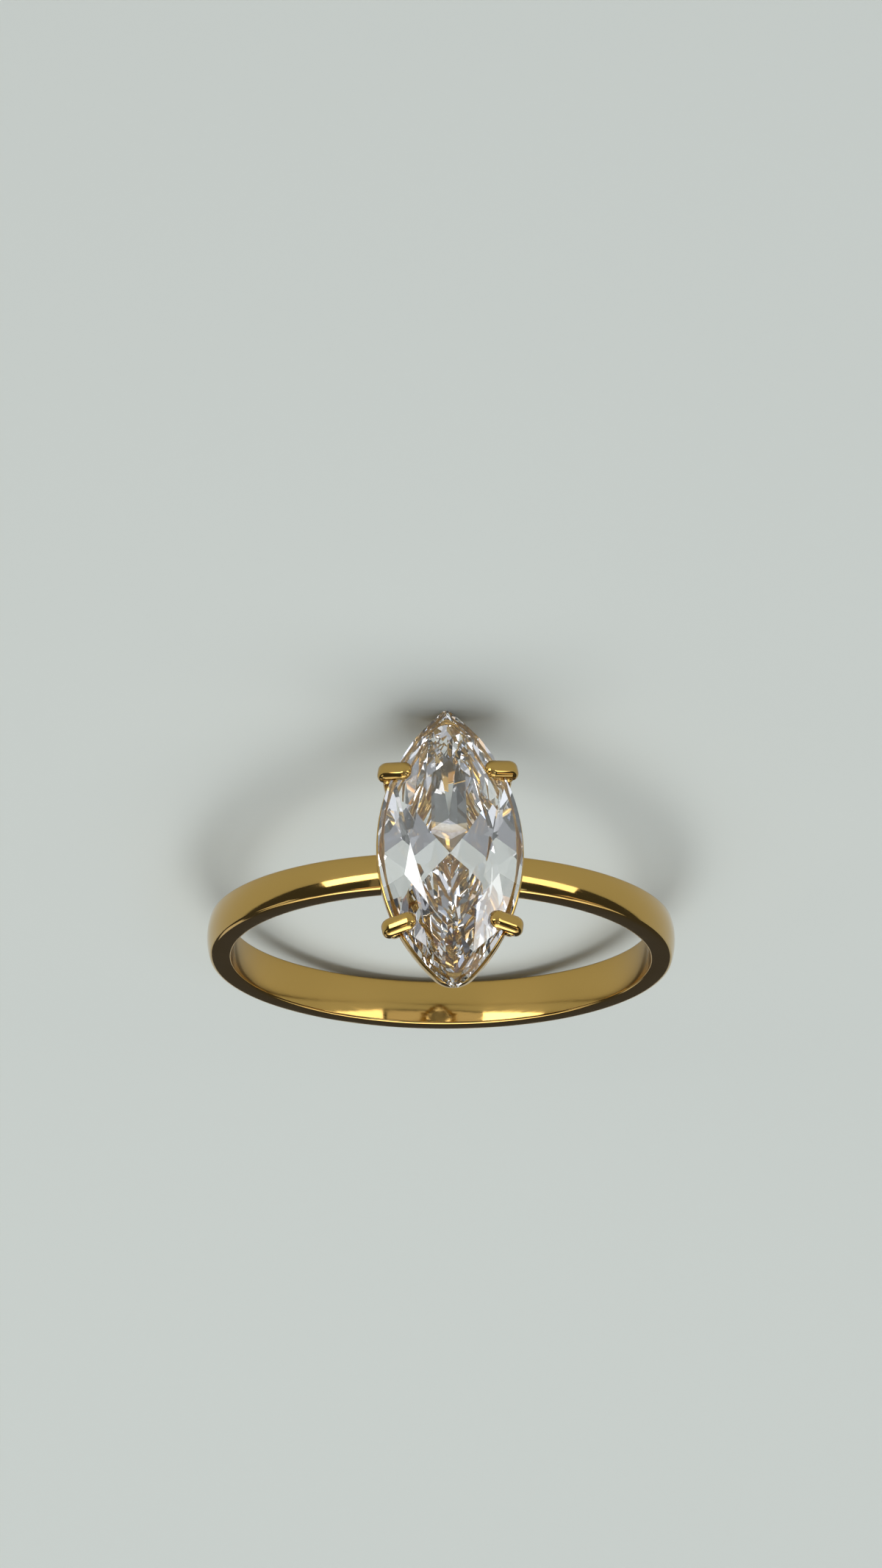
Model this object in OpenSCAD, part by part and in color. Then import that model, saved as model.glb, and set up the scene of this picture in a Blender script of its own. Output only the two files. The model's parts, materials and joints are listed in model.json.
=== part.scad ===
// Marquise solitaire ring, lying on its side as it rests by itself on a flat surface.
// Millimetres, +Z up. The origin is on that surface, under the middle of the ring.
//
// Two frames of its own are used below. In the ring frame the finger hole runs along Z and the stone
// looks along -Y. In the head frame the stone looks along +Z, its length runs along Y, its girdle
// plane is at Z = 0 and the centre of the ring is straight below.

/* [Band] */
// Diameter of the finger hole, US size 8
finger_d = 18.1; // [15.7:0.1:20.6]
// Thickness of the band from the hole to the top of its dome
band_t = 1.05; // [0.9:0.05:1.6]
// Width of the band under the stone
band_w_head = 1.55; // [1.3:0.05:2]
// Width of the band on the far side of the finger
band_w_back = 2; // [1.6:0.05:2.6]
// Radius of the rounded outer shoulders
shoulder_r = 0.3; // [0.1:0.05:0.4]
// Radius of the low dome across the outer face
dome_r = 3; // [2:0.5:8]

/* [Stone] */
// Length of the stone from tip to tip
stone_l = 12; // [10:0.5:14]
// Width of the stone
stone_w = 6; // [5:0.25:7]
// Height of the crown above the girdle
crown_h = 0.85; // [0.7:0.05:1]
// Depth of the pavilion below the girdle
pavilion_h = 2.5; // [2.3:0.05:2.5]
// Thickness of the girdle
girdle_t = 0.2; // [0.1:0.05:0.3]
// How far each sharp tip is blunted
tip_blunt = 0.1; // [0.05:0.05:0.2]
// Height of the girdle above the centre of the ring
stone_height = 12.75; // [12.75:0.05:13]

/* [Setting] */
// Turn of the head about the stone's own normal, in degrees
head_turn = 2; // [0:0.1:4]
// Height of the rail
rail_h = 0.6; // [0.5:0.05:0.8]
// Distance from the girdle plane down to the top of the rail
rail_drop = 0.28; // [0.25:0.01:0.4]
// How far the rail stands outside the stone
rail_proud = 0.06; // [0:0.01:0.12]
// Width of the rail seen from above
rail_w = 0.55; // [0.4:0.05:0.7]
// Radius of the rail's rounded ends
rail_end_r = 1.15; // [0.9:0.05:1.4]
// Diameter of the wires that carry the rail
wire_d = 0.7; // [0.6:0.05:0.9]
// Lean of each wire towards the middle of the band, in degrees
wire_lean = 14; // [8:1:20]
// How deep each wire is soldered into the top of the band
wire_sink = 0.15; // [0.1:0.01:0.2]
// Width of a claw
claw_w = 0.78; // [0.6:0.02:0.9]
// Thickness of a claw over the crown
claw_t = 0.28; // [0.2:0.01:0.35]
// Distance of the claws from the middle of the stone, along its length
claw_y = 3.33; // [3:0.01:3.6]
// Turn of each claw away from straight across the stone, in degrees
claw_turn = 10; // [0:1:20]
// How far a claw stands outside the girdle
claw_out = 0.68; // [0.6:0.01:0.8]
// How far a claw reaches in over the crown
claw_in = 0.85; // [0.6:0.01:1]
// Clearance between the metal and the stone
seat_gap = 0.03; // [0.02:0.01:0.05]

/* [Hidden] */
$fn = 96;
far = 40;

// Band
finger_r = finger_d / 2;
band_r = finger_r + band_t;
head_half = band_w_head / 2;
back_half = band_w_back / 2;
taper = atan((back_half - head_half) / (2 * band_r));
// Centre of a shoulder's round in the band's section
shoulder_u = band_r - shoulder_r;
shoulder_v = back_half - shoulder_r;

// Outline of the stone: two arcs of radius arc_r, whose centres lie arc_c either side of its middle
arc_l = stone_l / 2 + tip_blunt;
arc_r = (arc_l * arc_l + stone_w * stone_w / 4) / stone_w;
arc_c = arc_r - stone_w / 2;
tip_angle = asin(stone_l / 2 / arc_r);
girdle_steps = 18;
crown_z = girdle_t / 2;
table_z = crown_z + crown_h;
pavilion_z = -girdle_t / 2;
culet = [0, 0, pavilion_z - pavilion_h];

// Slopes of the crown's mains at the belly, the flank and the tip, and of its stars
belly_slope = 33;
flank_slope = 31.5;
tip_slope = 19;
star_slope = 16;
// Places of the flank mains of crown and pavilion along the arc, in degrees about its centre
flank_angle = 25.5;
main_angle = 46;
// Share of the way from culet to girdle at which the pavilion's lower facets start
lower_start = 0.25;

// A point of the outline, and that point raised or lowered
function outline(a) = [arc_r * cos(a) - arc_c, arc_r * sin(a)];
function at(p, z) = [p[0], p[1], z];
// A facet's plane is its outward normal and its distance from the origin
function through(a, b, c) =
    let(m = cross(b - a, c - a), n = m / norm(m), d = n * a)
    d < 0 ? [-n, -d] : [n, d];
function sloped(p, azimuth, slope) =
    let(n = [sin(slope) * cos(azimuth), sin(slope) * sin(azimuth), cos(slope)])
    [n, n * p];
function level(z) = [[0, 0, 1], z];
function mirrored(plane, x, y) = [[plane[0][0] * x, plane[0][1] * y, plane[0][2]], plane[1]];
// The point where three planes meet
function meet(p, q, r) =
    (p[1] * cross(q[0], r[0]) + q[1] * cross(r[0], p[0]) + r[1] * cross(p[0], q[0]))
    / (p[0] * cross(q[0], r[0]));
// Azimuth of the outward normal of the level line from a to b
function facing(a, b) = atan2(a[0] - b[0], b[1] - a[1]);

// Crown of one quarter of the stone, from belly to tip
belly_g = at(outline(0), crown_z);
low_g = at(outline(flank_angle / 2), crown_z);
flank_g = at(outline(flank_angle), crown_z);
high_g = at(outline((flank_angle + tip_angle) / 2), crown_z);
tip_g = [0, stone_l / 2, crown_z];
belly_main = sloped(belly_g, 0, belly_slope);
flank_main = sloped(flank_g, flank_angle, flank_slope);
tip_main = sloped(tip_g, 90, tip_slope);
belly_t = [belly_g[0] - crown_h / tan(belly_slope), 0, table_z];
flank_in = crown_h / tan(flank_slope);
flank_t = at(flank_g - flank_in * [cos(flank_angle), sin(flank_angle), 0], table_z);
tip_t = [0, tip_g[1] - crown_h / tan(tip_slope), table_z];
low_star = sloped(belly_t, facing(belly_t, flank_t), star_slope);
high_star = sloped(flank_t, facing(flank_t, tip_t), star_slope);
low_m = meet(belly_main, flank_main, low_star);
high_m = meet(flank_main, tip_main, high_star);
crown_mains = [belly_main, flank_main, tip_main];
crown_breaks = [
    through(belly_g, low_g, low_m),
    through(low_g, flank_g, low_m),
    through(flank_g, high_g, high_m),
    through(high_g, tip_g, high_m)
];
crown_points = [belly_t, flank_t, tip_t, low_m, high_m, low_g, flank_g, high_g, tip_g];

// Pavilion of one quarter, from belly to tip; its flank mains meet at the tips in a keel
belly_p = at(outline(0), pavilion_z);
mid_p = at(outline(main_angle / 2), pavilion_z);
main_p = at(outline(main_angle), pavilion_z);
tip_p = [0, stone_l / 2, pavilion_z];
function along(a) = [-sin(a), cos(a), 0];
belly_under = through(culet, belly_p, belly_p + along(0));
flank_under = through(culet, main_p, main_p + along(main_angle));
lower_level = level(culet[2] + lower_start * pavilion_h);
side_q = meet(belly_under, flank_under, lower_level);
keel_q = meet(flank_under, mirrored(flank_under, -1, 1), lower_level);
pavilion_mains = [belly_under, flank_under];
pavilion_lowers = [
    through(belly_p, mid_p, side_q),
    through(mid_p, main_p, side_q),
    through(main_p, tip_p, keel_q)
];
pavilion_points = [side_q, keel_q, mid_p, main_p, tip_p];

// Height of the crown or the pavilion above a point of the girdle, which is where its lowest plane is
function height(plane, p) = (plane[1] - plane[0][0] * p[0] - plane[0][1] * p[1]) / plane[0][2];
function roof(planes, p) = min([for (plane = planes) height(plane, p)]);
function keel(planes, p) = max([for (plane = planes) height(plane, p)]);
girdle_angles = [for (i = [0:girdle_steps]) tip_angle * i / girdle_steps];
// All corners of one quarter of the stone, and of the simpler blank that only its mains bound
stone_corners = concat(
    [for (a = girdle_angles) at(outline(a), roof(concat(crown_mains, crown_breaks), outline(a)))],
    [for (a = girdle_angles) at(outline(a), keel(concat(pavilion_mains, pavilion_lowers), outline(a)))],
    crown_points,
    pavilion_points,
    [culet]
);
blank_corners = concat(
    [for (a = girdle_angles) at(outline(a), roof(crown_mains, outline(a)))],
    [for (a = girdle_angles) at(outline(a), keel(pavilion_mains, outline(a)))],
    [meet(belly_main, flank_main, level(table_z)), meet(flank_main, tip_main, level(table_z))],
    [belly_t, tip_t, culet]
);
// Growing the blank by this factor moves its belly mains out by the clearance
seat_scale = 1 + seat_gap / belly_main[1];

// Claws and wires
claw_x = sqrt(arc_r * arc_r - claw_y * claw_y) - arc_c;
claw_rise = atan(tan(flank_slope) * cos(flank_angle - claw_turn));
wire_r = wire_d / 2;
// The wire is slightly fuller at the knee where it turns up beside the rail
knee_r = wire_r + 0.02;
wire_x = claw_x + claw_out - wire_r;
band_top_x = wire_x - (stone_height - band_r) * tan(wire_lean);
band_top_z = sqrt(band_r * band_r - band_top_x * band_top_x) - stone_height;
wire_low = (band_top_z + wire_r - wire_sink) / cos(wire_lean);
wire_bend = -(rail_drop + rail_h / 2 + wire_r / 2);
wire_rise = wire_bend - wire_low;
wire_arc = (claw_y * claw_y + wire_rise * wire_rise) / (2 * wire_rise);
wire_sweep = asin(claw_y / wire_arc);

// Lean of the ring: it rests on one tip of the stone and on the far edge of the band
tip_n = stone_height + pavilion_z;
tip_f = stone_l / 2 * cos(head_turn);
function drop(a) = (tip_n + shoulder_u) * sin(a) - (tip_f - shoulder_v) * cos(a) + shoulder_r;
function solve(lo, hi, n) =
    let(m = (lo + hi) / 2)
    n == 0 ? m : drop(m) > 0 ? solve(lo, m, n - 1) : solve(m, hi, n - 1);
lean = solve(0, 45, 40);
centre_z = shoulder_u * sin(lean) + shoulder_v * cos(lean) + shoulder_r;
front_y = -(stone_height + table_z) * cos(lean) - tip_t[1] * sin(lean);
back_y = (band_r - dome_r) * cos(lean) + dome_r;
centre_y = -(front_y + back_y) / 2;

// Draws its children in all four quarters of the head
module four_quarters() {
    for (x = [0, 1], y = [0, 1])
        mirror([x, 0, 0]) mirror([0, y, 0]) children();
}

// The convex solid around one quarter's corners and their three mirror images
module cut_gem(corners) {
    all = [for (p = corners, x = [1, -1], y = [1, -1]) [p[0] * x, p[1] * y, p[2]]];
    hull() polyhedron(all, [for (i = [0:len(all) - 3]) [i, i + 1, i + 2]]);
}

// Leaf outline of two arcs, grown by a margin and cut off square at its tips
module leaf(margin, half_l) {
    intersection() {
        translate([-arc_c, 0]) circle(arc_r + margin);
        translate([arc_c, 0]) circle(arc_r + margin);
        square([2 * stone_w, 2 * half_l], center = true);
    }
}

// Leaf outline whose tips are round, each end a circle that the two arcs touch smoothly
module round_leaf(margin, end_r) {
    reach = arc_r + margin - end_r;
    end_y = sqrt(reach * reach - arc_c * arc_c);
    leaf(margin, end_y * (arc_r + margin) / reach);
    for (side = [-1, 1])
        translate([0, side * end_y]) circle(end_r);
}

// Section of the band at its widest: the hole's wall, flat sides, round shoulders and a low dome
module band_section() {
    intersection() {
        union() {
            translate([finger_r, -back_half])
                square([shoulder_u - finger_r, 2 * back_half]);
            translate([finger_r, -shoulder_v])
                square([band_t, 2 * shoulder_v]);
            for (side = [-1, 1])
                translate([shoulder_u, side * shoulder_v]) circle(shoulder_r);
        }
        translate([band_r - dome_r, 0]) circle(dome_r);
    }
}

// The band, its sides cut by two planes that come together towards the stone
module band() {
    difference() {
        rotate_extrude() band_section();
        for (side = [0, 1])
            mirror([0, 0, side])
                translate([0, band_r, back_half])
                    rotate([taper, 0, 0])
                        translate([-far / 2, -far, 0]) cube([far, 2 * far, far]);
    }
}

// Gallery rail under the girdle
module rail() {
    translate([0, 0, -rail_drop - rail_h])
        linear_extrude(rail_h)
            difference() {
                round_leaf(rail_proud, rail_end_r);
                round_leaf(rail_proud - rail_w, rail_end_r - rail_w);
            }
}

// One wire, bent from a claw down to the band and up to the next claw
module wire() {
    translate([wire_x, 0, 0])
        rotate([0, wire_lean, 0]) {
            translate([0, 0, wire_low + wire_arc])
                rotate([0, 90, 0])
                    rotate([0, 0, -wire_sweep])
                        rotate_extrude(angle = 2 * wire_sweep)
                            translate([wire_arc, 0]) circle(wire_r);
            for (side = [-1, 1])
                translate([0, side * claw_y, wire_bend]) {
                    sphere(knee_r);
                    cylinder(h = -wire_bend, r = wire_r);
                }
        }
}

// One claw: the wire's end, bent over, laid up the slope of the crown and filed flat on top
module claw() {
    bar_l = claw_out + claw_in - claw_w;
    translate([claw_x, claw_y, crown_z])
        rotate([0, 0, 180 + claw_turn])
            rotate([0, -claw_rise, 0])
                translate([claw_w / 2 - claw_out, 0, 0])
                    difference() {
                        rotate([0, 90, 0]) {
                            cylinder(h = bar_l, d = claw_w);
                            sphere(d = claw_w);
                            translate([0, 0, bar_l]) sphere(d = claw_w);
                        }
                        translate([-claw_w, -claw_w, claw_t]) cube([4 * claw_w, 2 * claw_w, claw_w]);
                    }
}

// Rail, wires and claws, with the stone's seat cut into them
module setting() {
    difference() {
        union() {
            rail();
            for (x = [0, 1])
                mirror([x, 0, 0]) wire();
            four_quarters() claw();
        }
        scale(seat_scale) cut_gem(blank_corners);
    }
}

module in_head_frame() {
    translate([0, -stone_height, 0])
        rotate([90, 0, 0])
            rotate([0, 0, head_turn])
                children();
}

module as_it_lies() {
    translate([0, centre_y, centre_z])
        rotate([-lean, 0, 0])
            children();
}

module band_and_setting() {
    color("gold")
        as_it_lies() {
            band();
            in_head_frame() setting();
        }
}

module stone() {
    color("aliceblue")
        as_it_lies()
            in_head_frame()
                cut_gem(stone_corners);
}

band_and_setting();
stone();
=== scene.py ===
# %% [markdown]
# A marquise solitaire ring, lying on its side on a pale table.
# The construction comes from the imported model, and this script gives it its looks. The stone
# keeps its cut facets and gets its material. The metal is modelled again as smooth pieces,
# because the flat triangles of a CAD solid would show in a mirror finish.

# %% Load the frame
import json
import math

import bmesh
import bpy
from mathutils import Matrix, Vector


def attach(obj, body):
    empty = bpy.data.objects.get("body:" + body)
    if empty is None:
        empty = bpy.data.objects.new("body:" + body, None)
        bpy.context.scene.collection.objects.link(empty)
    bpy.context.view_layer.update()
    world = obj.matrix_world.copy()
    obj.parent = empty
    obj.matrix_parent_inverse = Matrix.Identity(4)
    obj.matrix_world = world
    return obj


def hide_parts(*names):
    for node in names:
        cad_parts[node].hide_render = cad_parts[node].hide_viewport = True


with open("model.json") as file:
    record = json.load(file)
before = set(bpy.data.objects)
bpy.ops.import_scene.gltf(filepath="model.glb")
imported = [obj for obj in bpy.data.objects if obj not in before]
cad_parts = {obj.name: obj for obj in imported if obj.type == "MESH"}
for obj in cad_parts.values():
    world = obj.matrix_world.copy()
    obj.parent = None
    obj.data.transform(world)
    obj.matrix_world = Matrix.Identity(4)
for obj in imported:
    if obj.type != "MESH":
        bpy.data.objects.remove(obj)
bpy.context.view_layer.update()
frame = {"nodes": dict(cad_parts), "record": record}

# %% [markdown]
# The ring leans on the table, so its pieces would be hard to model straight where they lie.
# Two working frames keep that simple, and both are worked out from the finger hole. In the ring
# frame the hole runs along Z and the stone looks along -Y. In the head frame the stone looks
# along +Z, its length runs along Y and its girdle is at Z = 0.
# Pieces are modelled in millimetres there, and one matrix then sets them down in metres.

# %% The ring frame and the head frame
hole = next(m for m in frame["record"]["mounts"] if m["name"] == "finger_hole")
centre = Vector(hole["pos_m"])
hole_axis = Vector(hole["axis"]).normalized()
lean = math.atan2(hole_axis.y, hole_axis.z)
millimetres = Matrix.Scale(0.001, 4)
ring_frame = Matrix.Translation(centre) @ Matrix.Rotation(-lean, 4, "X") @ millimetres

# From the centre of the hole to the girdle, and the stone's slight turn from the hole's axis
stone_height = 12.75
head_turn = math.radians(2)
out_of_hole = Matrix.Translation((0, -stone_height, 0)) @ Matrix.Rotation(math.radians(90), 4, "X")
head_frame = ring_frame @ out_of_hole @ Matrix.Rotation(head_turn, 4, "Z")
print("lean of the ring in degrees:", round(math.degrees(lean), 2))

# %% [markdown]
# The camera stands where the reference view was taken from, with a long lens, which flattens
# the view. A Track To constraint would aim it at the ring and put the ring in the middle of the
# picture. In the reference view the ring sits lower, so the camera's place and axes are worked
# out with vectors, and the camera is moved and not turned.
# The side of the ring that is up in the picture faces the table, so the picture is turned half
# round.

# %% Place of the camera
picture_w = 1200
picture_h = 2133
focal_px = 9000
ring_centre_px = Vector((600.0, 1280.2))
# Metres from the ring's centre, then the angles to the side, above the ring's plane and of roll
view_distance = 0.28566
view_side = math.radians(1.6)
view_above = math.radians(18.9)
view_roll = math.radians(-0.42)

side_way = Vector((1, 0, 0))
stone_way = (ring_frame.to_3x3() @ Vector((0, -1, 0))).normalized()
table_way = (ring_frame.to_3x3() @ Vector((0, 0, -1))).normalized()
to_camera = (
    side_way * math.sin(view_side) * math.cos(view_above)
    + stone_way * math.cos(view_side) * math.cos(view_above)
    - table_way * math.sin(view_above)
)
level_right = (-to_camera).cross(table_way).normalized()
level_up = level_right.cross(-to_camera)
right = level_right * math.cos(view_roll) - level_up * math.sin(view_roll)
up = level_right * math.sin(view_roll) + level_up * math.cos(view_roll)
off_axis = (ring_centre_px - Vector((picture_w / 2, picture_h / 2))) / focal_px
camera_place = centre + view_distance * (to_camera - off_axis.x * right + off_axis.y * up)
print("camera height above the table in mm:", round(1000 * camera_place.z, 1))

# %% [markdown]
# The lens follows from the picture's width and the focal length, both in pixels, so the frame
# takes in the same field as the reference view at any render size.

# %% Camera
camera_data = bpy.data.cameras.new("camera")
camera_data.sensor_fit = "HORIZONTAL"
camera_data.sensor_width = 36
camera_data.lens = camera_data.sensor_width * focal_px / picture_w
camera_data.clip_start = 0.01
camera_data.clip_end = 20
camera = bpy.data.objects.new("camera", camera_data)
camera_axes = Matrix((right, up, to_camera)).transposed().to_4x4()
camera.matrix_world = Matrix.Translation(camera_place) @ camera_axes
bpy.context.scene.collection.objects.link(camera)
bpy.context.scene.camera = camera
print("lens in mm:", camera_data.lens)

# %% [markdown]
# Colours are written as the hex values that a screen shows, and one function turns them linear,
# because the renderer adds up light and not screen values. Materials could be wired up one line
# at a time. Here a second function adds a node with its settings and links in one call, so that
# a material reads as a list.

# %% Colours and nodes
def linear(hex_colour):
    channels = [int(hex_colour[i:i + 2], 16) / 255 for i in (0, 2, 4)]
    # The sRGB curve is straight near black and a power above it, and alpha is always 1
    return [c / 12.92 if c <= 0.04045 else ((c + 0.055) / 1.055) ** 2.4 for c in channels] + [1.0]


def add_node(tree, kind, inputs=None, links=None):
    node = tree.nodes.new(kind)
    for name, value in (inputs or {}).items():
        node.inputs[name].default_value = value
    for name, source in (links or {}).items():
        tree.links.new(source, node.inputs[name])
    return node


def new_material(name):
    material = bpy.data.materials.new(name)
    material.use_nodes = True
    material.node_tree.nodes.clear()
    return material, material.node_tree


print("a middle grey of the screen, 808080, is this much light:", round(linear("808080")[0], 3))

# %% [markdown]
# The metal is yellow gold, cast and then polished on a buffing wheel. One colour with a metallic
# shader would give it, but too evenly. Real polish leaves hair-fine lines that run round the
# band and soften its reflections a little, so a stretched noise varies the roughness and a very
# faint bump. Polishing by hand also leaves the surface slightly wavy, so that the edges of what
# it mirrors are never quite straight, and a second noise with large, shallow waves gives that.

# %% Polished gold
# Buffing leaves about 50 lines to a millimetre, and 8 are drawn, so that they show
lines_per_mm = 8
# A line is a little longer than a millimetre, and a wave is 2.5 mm long
line_lengths_per_mm = 0.9
waves_per_mm = 0.4
mm_per_metre = 1000
# The noise uses about a third of its range, so the waves are a hundredth of a millimetre high
wave_relief = 0.00003
line_relief = 0.00002


def polished_gold():
    material, tree = new_material("polished_yellow_gold")
    place = add_node(tree, "ShaderNodeTexCoord")
    round_band = line_lengths_per_mm * mm_per_metre
    across_band = lines_per_mm * mm_per_metre
    lines = add_node(
        tree, "ShaderNodeMapping",
        inputs={"Scale": (round_band, round_band, across_band)},
        links={"Vector": place.outputs["Object"]},
    )
    buffing = add_node(
        tree, "ShaderNodeTexNoise",
        inputs={"Scale": 1.0, "Detail": 3.0, "Roughness": 0.6},
        links={"Vector": lines.outputs["Vector"]},
    )
    gloss = add_node(
        tree, "ShaderNodeMapRange",
        inputs={"From Min": 0.3, "From Max": 0.7, "To Min": 0.04, "To Max": 0.11},
        links={"Value": buffing.outputs["Fac"]},
    )
    waves = add_node(
        tree, "ShaderNodeTexNoise",
        inputs={"Scale": waves_per_mm * mm_per_metre, "Detail": 0.0},
        links={"Vector": place.outputs["Object"]},
    )
    wavy = add_node(
        tree, "ShaderNodeBump",
        inputs={"Strength": 1.0, "Distance": wave_relief},
        links={"Height": waves.outputs["Fac"]},
    )
    relief = add_node(
        tree, "ShaderNodeBump",
        inputs={"Strength": 0.02, "Distance": line_relief},
        links={"Height": buffing.outputs["Fac"], "Normal": wavy.outputs["Normal"]},
    )
    shader = add_node(
        tree, "ShaderNodeBsdfPrincipled",
        inputs={"Base Color": linear("C5A05A"), "Metallic": 1.0},
        links={"Roughness": gloss.outputs["Result"], "Normal": relief.outputs["Normal"]},
    )
    add_node(tree, "ShaderNodeOutputMaterial", links={"Surface": shader.outputs["BSDF"]})
    return material


gold = polished_gold()
print(gold.name, "nodes:", len(gold.node_tree.nodes))

# %% [markdown]
# The stone is a colourless gem of high refraction, cut and polished. It could be modelled again
# like the metal, but the CAD solid has its exact flat facets, and its sparkle comes from them
# alone. So the solid stays, and its material is plain: no roughness, full transmission, and the
# index of such a gem, which bends light far more than the 1.5 of glass.

# %% Clear stone
def clear_gem():
    material, tree = new_material("colourless_gem")
    shader = add_node(
        tree, "ShaderNodeBsdfPrincipled",
        inputs={
            "Base Color": linear("FFFFFF"),
            "Roughness": 0.0,
            "IOR": 2.16,
            "Transmission Weight": 1.0,
        },
    )
    add_node(tree, "ShaderNodeOutputMaterial", links={"Surface": shader.outputs["BSDF"]})
    return material


gem = clear_gem()
stone = frame["nodes"]["stone"]
stone.data.materials.clear()
stone.data.materials.append(gem)
print(gem.name, "on the stone's triangles:", len(stone.data.polygons))

# %% [markdown]
# Every metal piece is finished in the same way, and one function does it, so that no piece
# misses a step. Its doubles are merged, one matrix sets it down in the model's frame, its faces
# are made to look outwards, and it is shaded smooth. It then rides on the ring's one body and,
# with the other metal pieces, stands for the CAD solid of the metal.

# %% Finishing a metal piece
weld_gap = 0.0005


def finish_metal(bm, name, place):
    bmesh.ops.remove_doubles(bm, verts=bm.verts, dist=weld_gap)
    bmesh.ops.transform(bm, matrix=place, verts=bm.verts)
    bmesh.ops.recalc_face_normals(bm, faces=bm.faces)
    open_edges = sum(1 for e in bm.edges if not e.is_manifold)
    for face in bm.faces:
        face.smooth = True
    mesh = bpy.data.meshes.new(name)
    bm.to_mesh(mesh)
    bm.free()
    mesh.materials.append(gold)
    piece = bpy.data.objects.new(name, mesh)
    bpy.context.scene.collection.objects.link(piece)
    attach(piece, "root")
    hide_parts("band_and_setting")
    print(name, "faces:", len(mesh.polygons), "open edges:", open_edges)


print("metal points closer than this many mm are merged:", weld_gap)

# %% [markdown]
# The band is a cast ring whose outer face is slightly domed and runs into flat sides over small
# rounded shoulders. A curve object with a bevel could draw such a ring, but its edges are hard to
# control. A section that is drawn as a face is exact: its outer edge is cut up and moved onto the
# dome, and its corners are rounded.

# %% Section of the band
finger_r = 9.05
band_t = 1.05
band_r = finger_r + band_t
# Half the width under the stone and half the width on the far side
head_half = 0.775
back_half = 1.0
dome_r = 3.0
dome_cuts = 11
# How far from a corner its rounding starts, at the outer shoulders and inside
shoulder_cut = 0.14
inner_cut = 0.1
shoulder_steps = 6
edge_steps = 4
# Points nearer than this to a line count as lying on it
touch = 0.001


def round_corners(bm, corners, cut, steps):
    bmesh.ops.bevel(
        bm, geom=corners, offset=cut, segments=steps, profile=0.5,
        affect="VERTICES", material=-1,
    )


def draw_band_section(bm):
    dome_x = band_r - dome_r
    outer_x = dome_x + math.sqrt(dome_r ** 2 - back_half ** 2)
    corners = [
        (finger_r, -back_half), (outer_x, -back_half), (outer_x, back_half), (finger_r, back_half),
    ]
    loop = [bm.verts.new((x, 0, z)) for x, z in corners]
    bm.faces.new(loop)
    outer_edge = bm.edges.get((loop[1], loop[2]))
    bmesh.ops.subdivide_edges(bm, edges=[outer_edge], cuts=dome_cuts)
    for v in bm.verts:
        if v.co.x > outer_x - touch:
            v.co.x = dome_x + math.sqrt(dome_r ** 2 - v.co.z ** 2)
    outer = [v for v in bm.verts if v.co.x > finger_r + touch]
    shoulders = [v for v in outer if abs(v.co.z) > back_half - touch]
    round_corners(bm, shoulders, shoulder_cut, shoulder_steps)
    inner = [v for v in bm.verts if v.co.x < finger_r + touch]
    round_corners(bm, inner, inner_cut, edge_steps)
    bmesh.ops.delete(bm, geom=list(bm.faces), context="FACES_ONLY")


print("inner and outer radius of the band in mm:", finger_r, round(band_r, 3))

# %% [markdown]
# The section is spun about the hole in one full turn. The real band is narrower at the stone than
# at the far side. Two sections and a loft would give that, but it is simpler to spin the wide
# section and then to scale the band's width by how far round each point lies.

# %% Band
band_steps = 288


def whole(bm):
    return list(bm.verts) + list(bm.edges) + list(bm.faces)


def make_band():
    bm = bmesh.new()
    draw_band_section(bm)
    bmesh.ops.spin(
        bm, geom=whole(bm), cent=(0, 0, 0), axis=(0, 0, 1),
        angle=2 * math.pi, steps=band_steps, use_merge=True,
    )
    for v in bm.verts:
        share = (v.co.y + band_r) / (2 * band_r)
        v.co.z *= (head_half + (back_half - head_half) * share) / back_half
    finish_metal(bm, "band", ring_frame)


make_band()

# %% [markdown]
# Seen from its front, the stone is a leaf: two arcs that meet at the tips. The rail under it
# follows the same leaf, with small round ends. Its outline could be placed point by point. Four
# arcs, spun one after the other from a single point, keep it smooth and even all the way round.

# %% Leaf outline
stone_l = 12.0
stone_w = 6.0
# The arcs would meet this far beyond the stone's blunt tips
tip_blunt = 0.1
# Half the length of the long arcs' leaf, their radius, and how far their centres lie from its middle
arc_l = stone_l / 2 + tip_blunt
arc_r = (arc_l ** 2 + stone_w ** 2 / 4) / stone_w
arc_c = arc_r - stone_w / 2
side_steps = 72
end_steps = 16


def points_of(geom):
    return [g for g in geom if isinstance(g, bmesh.types.BMVert)]


def draw_leaf(bm, margin, end_r, z):
    side_r = arc_r + margin
    end_y = math.sqrt((side_r - end_r) ** 2 - arc_c ** 2)
    meet = math.atan2(end_y, arc_c)
    start = bm.verts.new((side_r * math.cos(meet) - arc_c, -side_r * math.sin(meet), z))
    arcs = [
        ((-arc_c, 0, z), 2 * meet, side_steps),
        ((0, end_y, z), math.pi - 2 * meet, end_steps),
        ((arc_c, 0, z), 2 * meet, side_steps),
        ((0, -end_y, z), math.pi - 2 * meet, end_steps),
    ]
    last = start
    for arc_centre, angle, steps in arcs:
        arc = bmesh.ops.spin(
            bm, geom=[last], cent=arc_centre, axis=(0, 0, 1), angle=angle, steps=steps, use_merge=False,
        )
        last = points_of(arc["geom_last"])[0]
    bmesh.ops.pointmerge(bm, verts=[last, start], merge_co=start.co)


print("radius of the stone's long arcs in mm:", round(arc_r, 3))

# %% [markdown]
# The rail is a thin bar of metal that runs round under the girdle and ties the wires together.
# A boolean cut through a solid leaf would give it, with a poor mesh. Here an outer and an inner
# leaf are bridged, the face between them is extruded down to the bar's height, and its long edges
# are rounded as polishing rounds them.

# %% Rail
rail_h = 0.6
rail_w = 0.55
# How far the rail lies below the girdle, and how far it stands out beyond the stone
rail_drop = 0.28
rail_proud = 0.06
rail_end_r = 1.15
rail_round = 0.09
sharp_degrees = 60


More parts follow.
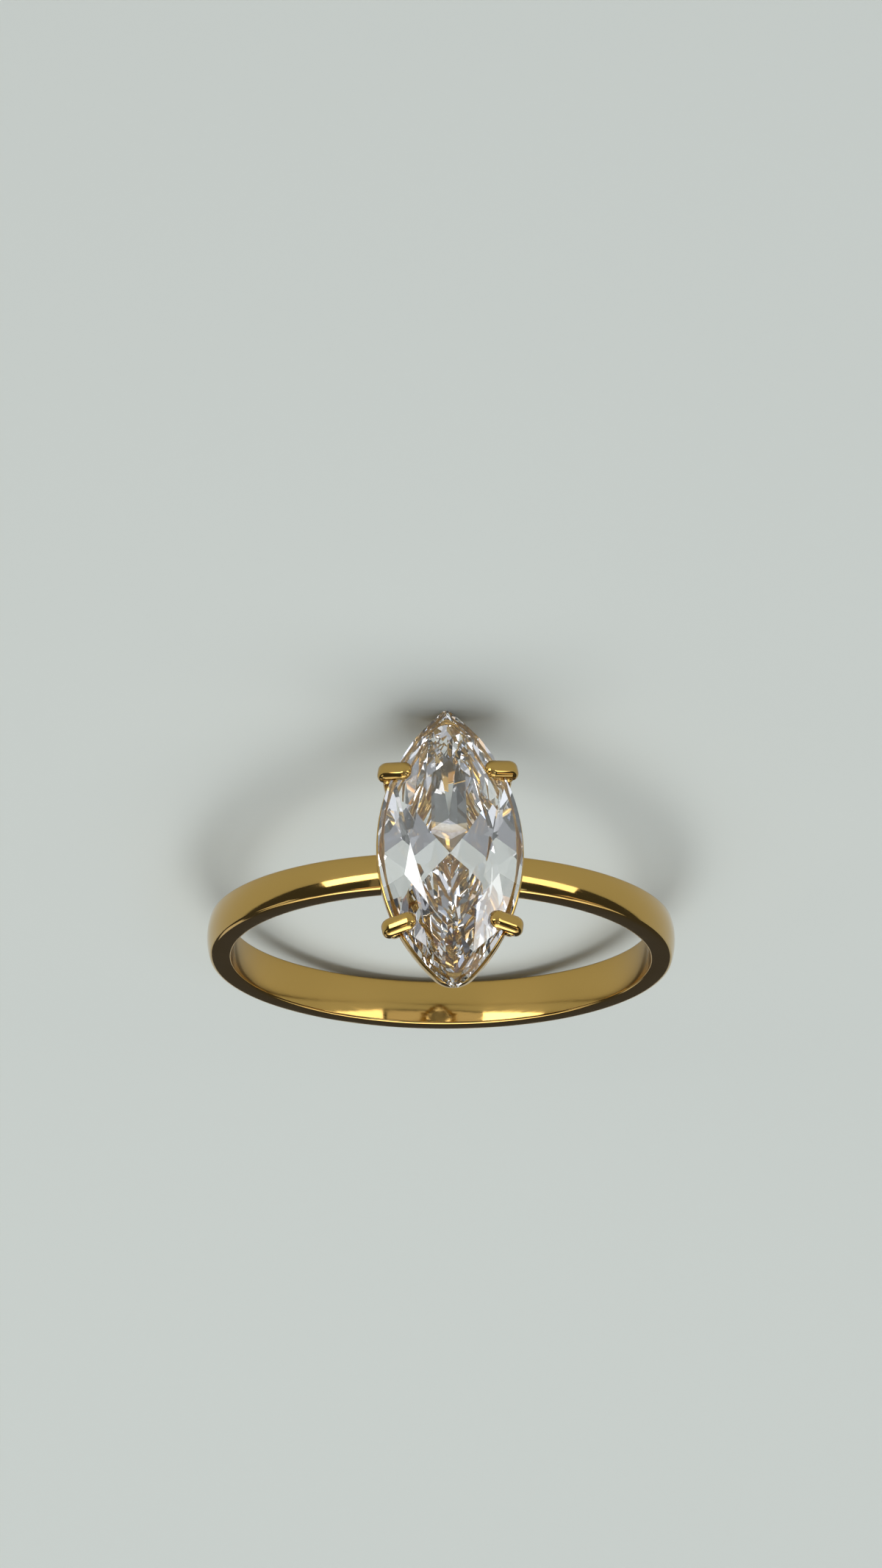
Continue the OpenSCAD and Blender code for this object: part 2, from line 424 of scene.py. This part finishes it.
def sharp_edges(bm):
    shared = [e for e in bm.edges if e.is_manifold]
    return [e for e in shared if math.degrees(e.calc_face_angle()) > sharp_degrees]


def make_rail():
    bm = bmesh.new()
    draw_leaf(bm, rail_proud, rail_end_r, -rail_drop)
    draw_leaf(bm, rail_proud - rail_w, rail_end_r - rail_w, -rail_drop)
    bmesh.ops.bridge_loops(bm, edges=list(bm.edges))
    wall = bmesh.ops.extrude_face_region(bm, geom=list(bm.faces), use_keep_orig=True)
    bmesh.ops.translate(bm, verts=points_of(wall["geom"]), vec=(0, 0, -rail_h))
    bmesh.ops.recalc_face_normals(bm, faces=bm.faces)
    bmesh.ops.bevel(
        bm, geom=sharp_edges(bm), offset=rail_round, segments=edge_steps, profile=0.5,
        affect="EDGES", material=-1,
    )
    finish_metal(bm, "rail", head_frame)


make_rail()

# %% [markdown]
# Two wires carry the rail and the claws. Each is bent from one length: down from a claw, round a
# knee, in a bow across the band where it is soldered, and up to the next claw. The wires lean
# inwards towards the band. Their bow could be set by eye. It is worked out instead, so that its
# lowest point lies in the band's surface and its ends come up beside the rail.

# %% Bow of the wires
wire_r = 0.35
wire_lean = math.radians(14)
# How deep the wire is soldered into the band, and how far under the girdle its ends lie
wire_sink = 0.15
wire_top = 0.2
knee_r = 0.8
# The claws' place on the stone's edge, and how far out from there the wires reach
claw_y = 3.33
claw_x = math.sqrt(arc_r ** 2 - claw_y ** 2) - arc_c
claw_out = 0.68
wire_x = claw_x + claw_out - wire_r

# Where a wire crosses the band, and from it the bow's lowest point and its ends along the wire
band_top_x = wire_x - (stone_height - band_r) * math.tan(wire_lean)
band_top_z = math.sqrt(band_r ** 2 - band_top_x ** 2) - stone_height
bow_low = (band_top_z + wire_r - wire_sink) / math.cos(wire_lean)
bow_end = -(rail_drop + rail_h / 2 + wire_r / 2)
bow_rise = bow_end - bow_low
bow_r = (claw_y ** 2 + bow_rise ** 2) / (2 * bow_rise)
bow_z = bow_low + bow_r

# The knees are round bends that run smoothly into the bow
knee_to_bow = math.sqrt((bow_r - knee_r) ** 2 - (claw_y - knee_r) ** 2)
knee_z = bow_z - knee_to_bow
knee_turn = math.atan2(knee_to_bow, claw_y - knee_r)
print("radius of the wires' bow in mm:", round(bow_r, 3))

# %% [markdown]
# A curve object with a round bevel could draw a wire. Here a circle is extruded down, spun round
# each bend and extruded up again, which is how a mesh is bent to exact radii. The second wire is
# the mirror image of the first.

# %% Wires
wire_sides = 32
knee_steps = 10
bow_steps = 64


def edges_of(geom):
    return [g for g in geom if isinstance(g, bmesh.types.BMEdge)]


def extrude_end(bm, end, way):
    made = bmesh.ops.extrude_edge_only(bm, edges=edges_of(end))["geom"]
    bmesh.ops.translate(bm, verts=points_of(made), vec=way)
    return edges_of(made) + points_of(made)


def make_wires():
    bm = bmesh.new()
    bmesh.ops.create_circle(bm, cap_ends=True, radius=wire_r, segments=wire_sides)
    bmesh.ops.translate(bm, verts=bm.verts, vec=(0, -claw_y, -wire_top))
    end = extrude_end(bm, list(bm.edges), (0, 0, knee_z + wire_top))
    bends = [
        ((0, knee_r - claw_y, knee_z), knee_turn, knee_steps),
        ((0, 0, bow_z), math.pi - 2 * knee_turn, bow_steps),
        ((0, claw_y - knee_r, knee_z), knee_turn, knee_steps),
    ]
    for bend_centre, angle, steps in bends:
        bend = bmesh.ops.spin(
            bm, geom=end, cent=bend_centre, axis=(1, 0, 0), angle=angle, steps=steps, use_merge=False,
        )
        end = bend["geom_last"]
    end = extrude_end(bm, end, (0, 0, -knee_z - wire_top))
    bmesh.ops.edgeloop_fill(bm, edges=edges_of(end))
    leaning = Matrix.Translation((wire_x, 0, 0)) @ Matrix.Rotation(wire_lean, 4, "Y")
    bmesh.ops.transform(bm, matrix=leaning, verts=bm.verts)
    bmesh.ops.mirror(bm, geom=whole(bm), axis="X", merge_dist=0.0)
    finish_metal(bm, "wires", head_frame)


make_wires()

# %% [markdown]
# A claw is the end of a wire, filed to a bar with a rounded back, bent over the girdle and
# pressed down on the crown. It could be sculpted from a cylinder. A drawn section gives all four
# claws the same crisp form: flat where the stone lies, and well rounded on the back.

# %% Section of a claw
claw_w = 0.78
claw_t = 0.34
back_round = 0.29
back_steps = 10
seat_round = 0.04
seat_steps = 3


def draw_claw_section(bm):
    half = claw_w / 2
    corners = [(-half, 0), (half, 0), (half, claw_t), (-half, claw_t)]
    loop = [bm.verts.new((0, y, z)) for y, z in corners]
    bm.faces.new(loop)
    round_corners(bm, loop[2:], back_round, back_steps)
    round_corners(bm, [v for v in bm.verts if v.co.z < touch], seat_round, seat_steps)
    bmesh.ops.delete(bm, geom=list(bm.faces), context="FACES_ONLY")


print("width and thickness of a claw in mm:", claw_w, claw_t)

# %% [markdown]
# A claw has to lie flat on a facet of the crown, and it isn't turned straight up that facet's
# slope. Its own rise could be tried out by eye. It is worked out instead, from the facet's slope
# and from the angle between the claw and the facet's steepest way up.

# %% Slope of a claw
# The crown's edge above the girdle's middle, and the slope and direction of the facet
crown_z = 0.1
flank_slope = math.radians(31.5)
flank_angle = math.radians(25.5)
claw_turn = math.radians(10)
claw_rise = math.atan(math.tan(flank_slope) * math.cos(flank_angle - claw_turn))
print("rise of a claw in degrees:", round(math.degrees(claw_rise), 2))

# %% [markdown]
# The section grows in two directions from the stone's edge. Outwards it makes the claw's foot: it
# is extruded a little, spun down past the girdle, and extruded into its wire. On the real ring
# claw and wire are one piece, so the foot sinks into the wire and narrows, and the two run together.

# %% Foot of a claw
claw_over = 0.24
bend_r = 0.25
bend_steps = 16
claw_fall = 0.5
claw_sink = 0.2
# The share of its width that the foot keeps
claw_fade = 0.65


def make_claw_foot(bm, section):
    outer = extrude_end(bm, section, (-claw_over, 0, 0))
    bend = bmesh.ops.spin(
        bm, geom=outer, cent=(-claw_over, 0, -bend_r), axis=(0, -1, 0),
        angle=math.pi / 2 + wire_lean - claw_rise, steps=bend_steps, use_merge=False,
    )
    down = Vector((math.sin(wire_lean - claw_rise), 0, -math.cos(wire_lean - claw_rise)))
    inward = Vector((-down.z, 0, down.x))
    foot = extrude_end(bm, bend["geom_last"], claw_fall * down + claw_sink * inward)
    bmesh.ops.scale(bm, vec=(1, claw_fade, 1), verts=points_of(foot))
    bmesh.ops.edgeloop_fill(bm, edges=edges_of(foot))


print("height of a claw's foot in mm:", claw_fall)

# %% [markdown]
# Inwards the section makes the claw's arm and its tip. Setters file the tip round, so that it
# catches on nothing. A bevel round the end would lift its flat seat off the stone too. So the end
# is extruded in short steps along a quarter circle, each a little narrower and lower than the last.

# %% Tip of a claw
claw_in = 0.85
tip_r = 0.34
tip_steps = 8
# The shares of its width and thickness that a claw loses at its tip
tip_narrows = 2 * tip_r / claw_w
tip_flattens = 0.9


def left_at(angle, loss):
    return 1 - loss * (1 - math.cos(angle))


def make_claw_tip(bm, section):
    end = extrude_end(bm, section, (claw_in - tip_r, 0, 0))
    for step in range(tip_steps):
        before = math.pi / 2 * step / tip_steps
        now = math.pi / 2 * (step + 1) / tip_steps
        end = extrude_end(bm, end, (tip_r * (math.sin(now) - math.sin(before)), 0, 0))
        narrower = left_at(now, tip_narrows) / left_at(before, tip_narrows)
        flatter = left_at(now, tip_flattens) / left_at(before, tip_flattens)
        bmesh.ops.scale(bm, vec=(1, narrower, flatter), verts=points_of(end))
    bmesh.ops.edgeloop_fill(bm, edges=edges_of(end))


print("length of a claw on the stone in mm:", claw_in)

# %% [markdown]
# Four claws could be set one by one. The setting is the same at all four corners, so one claw is
# made and mirrored twice. It lies a hair above the stone, so that the two never share a surface.

# %% Claws
claw_lift = 0.03


def make_claws():
    bm = bmesh.new()
    draw_claw_section(bm)
    section = list(bm.edges)
    make_claw_foot(bm, section)
    make_claw_tip(bm, section)
    lift = Matrix.Translation((0, 0, claw_lift))
    slope = Matrix.Rotation(-claw_rise, 4, "Y")
    swing = Matrix.Rotation(math.pi + claw_turn, 4, "Z")
    seat = Matrix.Translation((claw_x, claw_y, crown_z))
    bmesh.ops.transform(bm, matrix=seat @ swing @ slope @ lift, verts=bm.verts)
    for axis in "XY":
        bmesh.ops.mirror(bm, geom=whole(bm), axis=axis, merge_dist=0.0)
    finish_metal(bm, "claws", head_frame)


make_claws()

# %% [markdown]
# The table is a plain pale board with a matt coat of paint, which mirrors almost nothing and
# throws a soft light up at the ring. That is what makes the sides of polished metal bright.

# %% Table
table_half = 2.0


def pale_paint():
    material, tree = new_material("matt_pale_paint")
    shader = add_node(
        tree, "ShaderNodeBsdfPrincipled",
        inputs={"Base Color": linear("C9CEC4"), "Roughness": 0.7},
    )
    add_node(tree, "ShaderNodeOutputMaterial", links={"Surface": shader.outputs["BSDF"]})
    return material


def make_table():
    bm = bmesh.new()
    bmesh.ops.create_grid(bm, x_segments=1, y_segments=1, size=table_half)
    mesh = bpy.data.meshes.new("table")
    bm.to_mesh(mesh)
    bm.free()
    mesh.materials.append(pale_paint())
    table = bpy.data.objects.new("table", mesh)
    bpy.context.scene.collection.objects.link(table)
    print("table width in m:", 2 * table_half)


make_table()

# %% [markdown]
# Soft studio light. Polished gold and a cut stone show nothing but what stands round them. One
# big lamp would light the table and leave them dull, so there are many soft boxes, placed by the
# direction in which metal and facets look for them: a turn to the side from the stone's front,
# plus to the picture's right, and a height above the table, both in degrees. A box's power goes
# with its area, so that boxes of the same brightness look alike in a mirror, large or small.

# %% Soft boxes
stone_place = head_frame @ Vector((0, 0, 0))


def soft_box(name, turn, height, distance, size, brightness, colour):
    flat = math.cos(math.radians(height))
    way = Vector((
        -math.sin(math.radians(turn)) * flat,
        -math.cos(math.radians(turn)) * flat,
        math.sin(math.radians(height)),
    ))
    data = bpy.data.lights.new(name, "AREA")
    data.shape = "RECTANGLE"
    data.size, data.size_y = size
    data.energy = brightness * math.pi * size[0] * size[1]
    data.color = linear(colour)[:3]
    lamp = bpy.data.objects.new(name, data)
    facing = way.to_track_quat("Z", "Y").to_matrix().to_4x4()
    lamp.matrix_world = Matrix.Translation(stone_place + distance * way) @ facing
    lamp.visible_camera = False
    bpy.context.scene.collection.objects.link(lamp)


soft_boxes = [
    # Overhead, for an even light on the table and soft shadows
    ("top", 180, 80, 0.5, (0.75, 0.75), 0.47, "F6F8FF"),
    ("top_core", 180, 76, 0.5, (0.45, 0.45), 2.1, "F6F8FF"),
    ("top_back", 180, 60, 0.5, (0.57, 0.27), 1.3, "F6F8FF"),
    # Low at both sides of the front, for the white facets and the highlights on the band
    ("left", -43, 6, 0.5, (0.325, 0.115), 5.0, "FFFFFF"),
    ("right", 49, 6, 0.5, (0.325, 0.115), 3.0, "FFFFFF"),
    # In front, for the middle greys of the stone
    ("front", 0, 25, 0.5, (0.72, 0.3), 0.22, "F2F6FF"),
    ("front_low", 2, 3.5, 0.5, (0.5, 0.06), 0.7, "FFFFFF"),
    ("front_top", 5, 52, 0.24, (0.06, 0.06), 0.8, "F2F6FF"),
    ("front_right", 14, 28, 0.24, (0.05, 0.04), 0.4, "D8E4FF"),
    # High in front, for a warm glint and a cool one
    ("high_left", -45, 44, 0.25, (0.09, 0.06), 1.0, "FFDDB8"),
    ("high_right", 38, 40, 0.25, (0.08, 0.06), 2.4, "CCDDFF"),
    # At the sides and behind, for the glitter in the stone's tips
    ("side_left", -98, 20, 0.22, (0.09, 0.05), 1.0, "F2F6FF"),
    ("side_right", 82, 28, 0.22, (0.1, 0.05), 0.8, "FFE8D0"),
    ("back_left", -150, 16, 0.22, (0.1, 0.05), 0.8, "F2F6FF"),
    ("behind_left", -122, 40, 0.22, (0.1, 0.07), 0.8, "F2F6FF"),
    ("behind_right", 122, 40, 0.22, (0.1, 0.07), 1.0, "F2F6FF"),
]
for box in soft_boxes:
    soft_box(*box)
print("soft boxes:", len(soft_boxes))

# %% [markdown]
# Between the boxes the room is dim. A bright, even background would be simpler, but it is the
# dark places in their reflections that make gold look like metal and a stone look cut.
# The Standard view shows the colours as they were chosen.

# %% Dim room
room_brightness = 0.08
world = bpy.data.worlds.new("room")
world.use_nodes = True
background = world.node_tree.nodes["Background"]
background.inputs["Color"].default_value = linear("E6EAF0")
background.inputs["Strength"].default_value = room_brightness
bpy.context.scene.world = world
bpy.context.scene.view_settings.view_transform = "Standard"
print("brightness of the room:", room_brightness)

# %% [markdown]
# Light that enters a cut stone is thrown to and fro between its facets many times before it
# leaves. The renderer gives up after four mirrored turns unless it is told to go on, which would
# leave the tips of the stone flat and dark, so it is allowed more of them here.

# %% Turns of light inside the stone
turns_of_a_kind = 16
turns_in_all = 24
light_paths = bpy.context.scene.cycles
light_paths.max_bounces = turns_in_all
light_paths.glossy_bounces = turns_of_a_kind
light_paths.transmission_bounces = turns_of_a_kind
print("turns of light followed:", turns_in_all)
